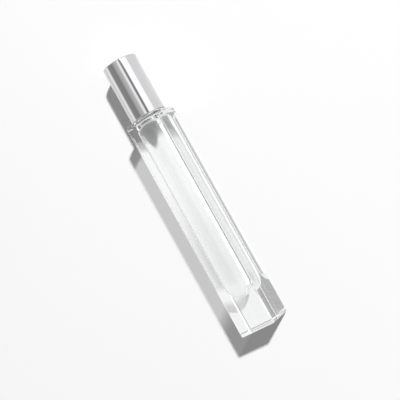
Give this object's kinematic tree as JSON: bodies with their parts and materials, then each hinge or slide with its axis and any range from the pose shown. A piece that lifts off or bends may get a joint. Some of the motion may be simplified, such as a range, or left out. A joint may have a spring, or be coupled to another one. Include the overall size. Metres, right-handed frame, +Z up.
{
  "type": "roll on bottle",
  "caption": "Clear square glass roll on bottle with a thick base, a steel ball in a plastic housing and a polished metal screw cap, lying on its side.",
  "frame": {"origin": "on the resting surface, under the middle of the whole bottle as it lies on one side", "axes": "+Z up from the surface, +Y along the bottle's axis from the base to the cap, +X across the bottle"},
  "size_m": [0.016, 0.1214, 0.016],
  "materials": {
    "clear_glass": "clear polished glass",
    "housing_plastic": "natural translucent plastic",
    "ball_steel": "polished steel",
    "seal_rubber": "soft pale elastomer",
    "liner_plastic": "white moulded plastic",
    "cap_metal": "polished silver"
  },
  "bodies": {
    "bottle": {"glass_bottle": "clear_glass", "ball_housing": "housing_plastic"},
    "ball": {"roller_ball": "ball_steel"},
    "seal": {"cap_seal": "seal_rubber"},
    "cap": {"inner_cap": "liner_plastic", "cap_shell": "cap_metal"}
  },
  "joints": [
    {"name": "ball_roll", "type": "hinge", "parent": "bottle", "child": "ball", "pos_m": [0, 0.04932, 0.008], "axis": [1, 0, 0], "continuous": true},
    {"name": "cap_lift", "type": "slide", "parent": "bottle", "child": "seal", "axis": [0, 1, 0], "range_m": [0, 0.0211]},
    {"name": "cap_turn", "type": "hinge", "parent": "seal", "child": "cap", "pos_m": [0, 0.04932, 0.008], "axis": [0, 1, 0], "range_deg": [0, 2520]}
  ],
  "couplings": [
    {"joint": "cap_lift", "follows": "cap_turn", "m_per_rad": 0.00047746}
  ]
}
